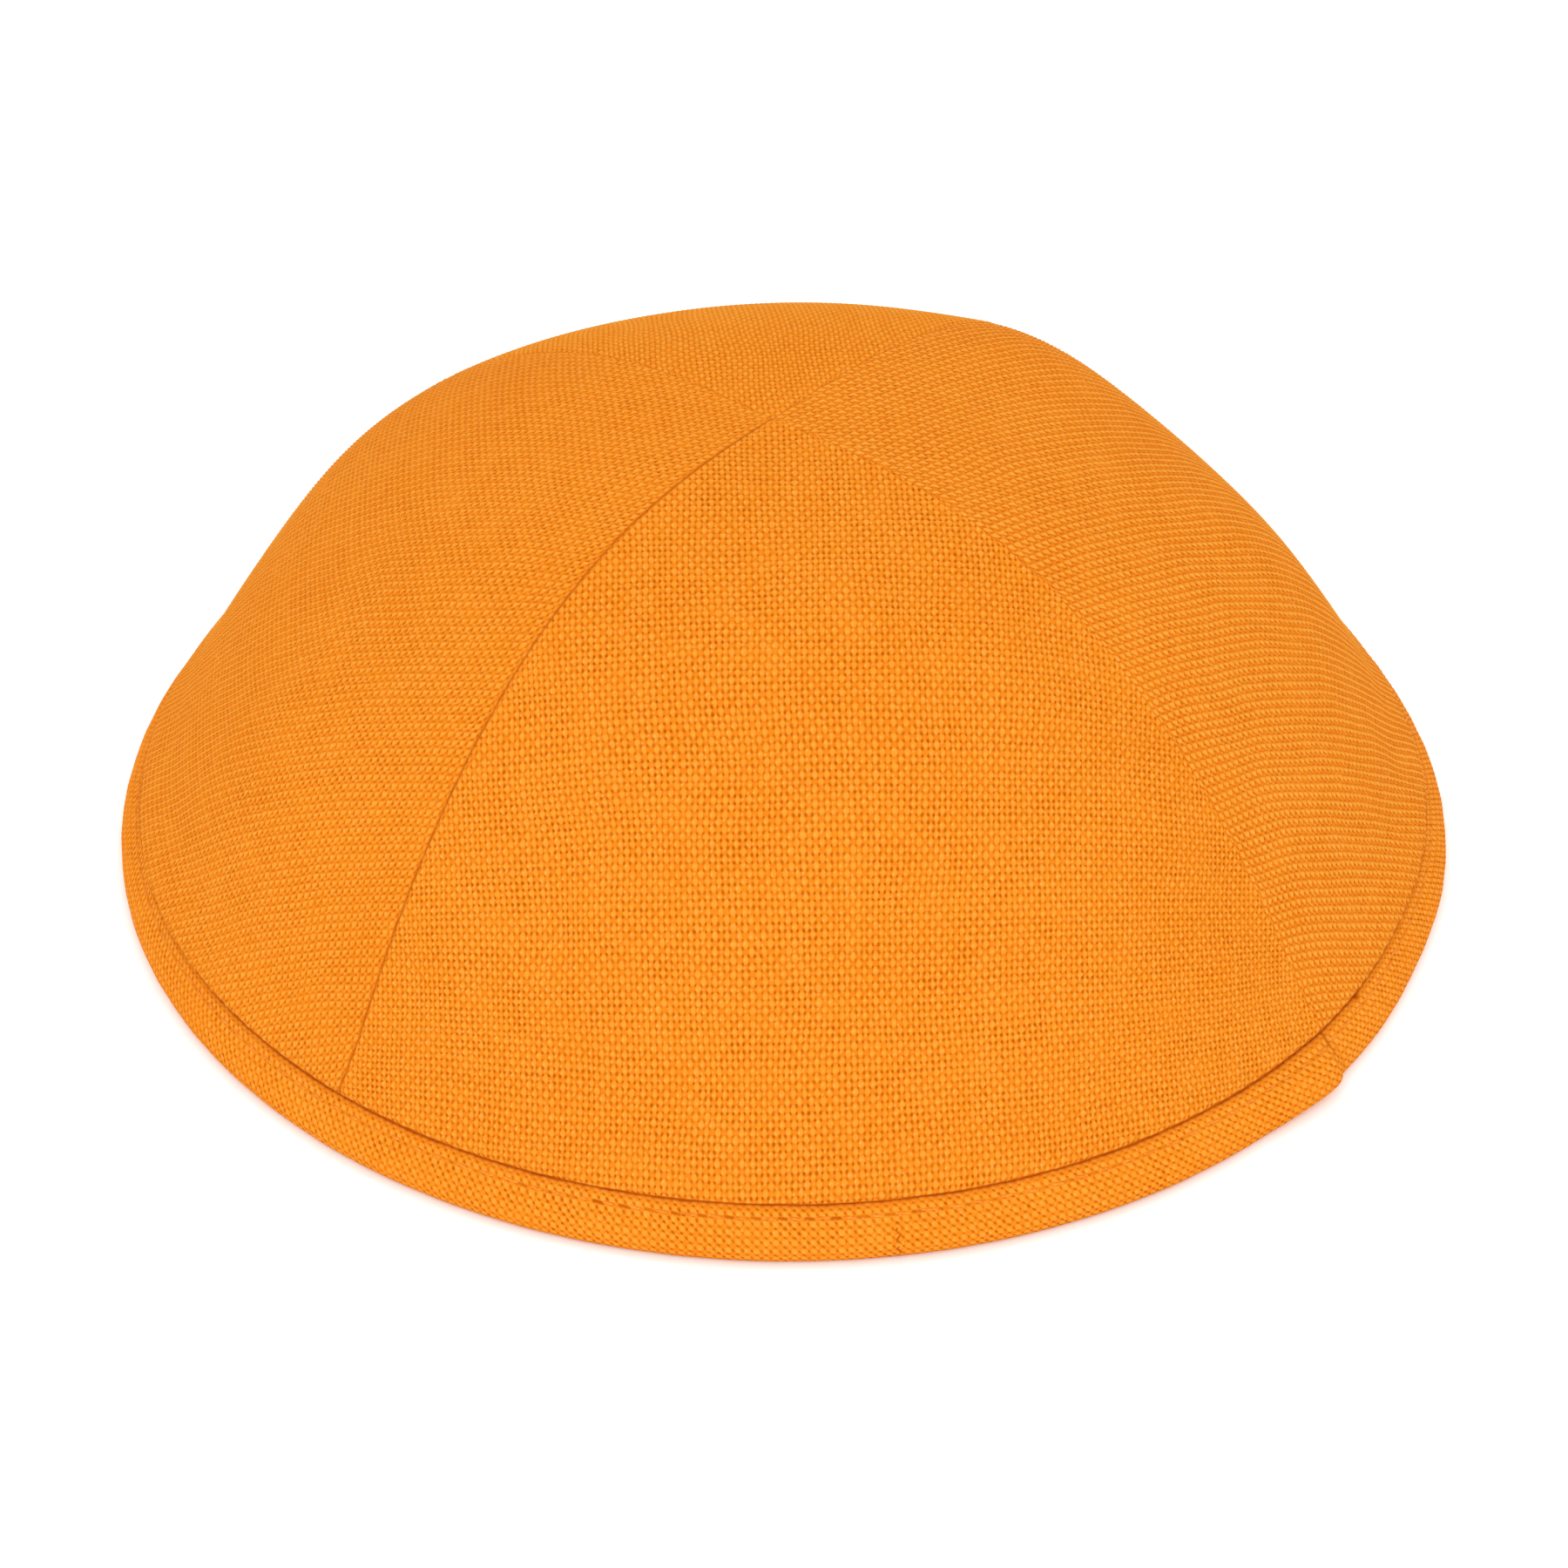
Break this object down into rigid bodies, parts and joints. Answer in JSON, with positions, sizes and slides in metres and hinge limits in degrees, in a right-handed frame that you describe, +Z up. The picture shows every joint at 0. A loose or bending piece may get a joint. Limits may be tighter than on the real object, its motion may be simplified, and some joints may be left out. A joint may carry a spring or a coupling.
{
  "type": "four-panel linen skullcap",
  "caption": "Shallow round skullcap of woven linen panels meeting at the top, with a folded bias tape stitched round its rim. Stands open side down.",
  "frame": {"origin": "centre of the rim, on the surface that the cap stands on", "axes": "+Z up to the top of the crown, -Y towards the front panel, +X to the wearer's left when the front panel is seen from the front as in the picture"},
  "size_m": [0.1618, 0.1607, 0.0591],
  "materials": {
    "panel_linen": "orange plain-weave linen with thick uneven yarns, matt",
    "tape_linen": "the same linen cut on the bias, folded and topstitched in matching thread"
  },
  "bodies": {
    "root": {"panel_front": "panel_linen", "panel_right": "panel_linen", "panel_back": "panel_linen", "panel_left": "panel_linen", "rim_tape": "tape_linen"}
  },
  "joints": []
}
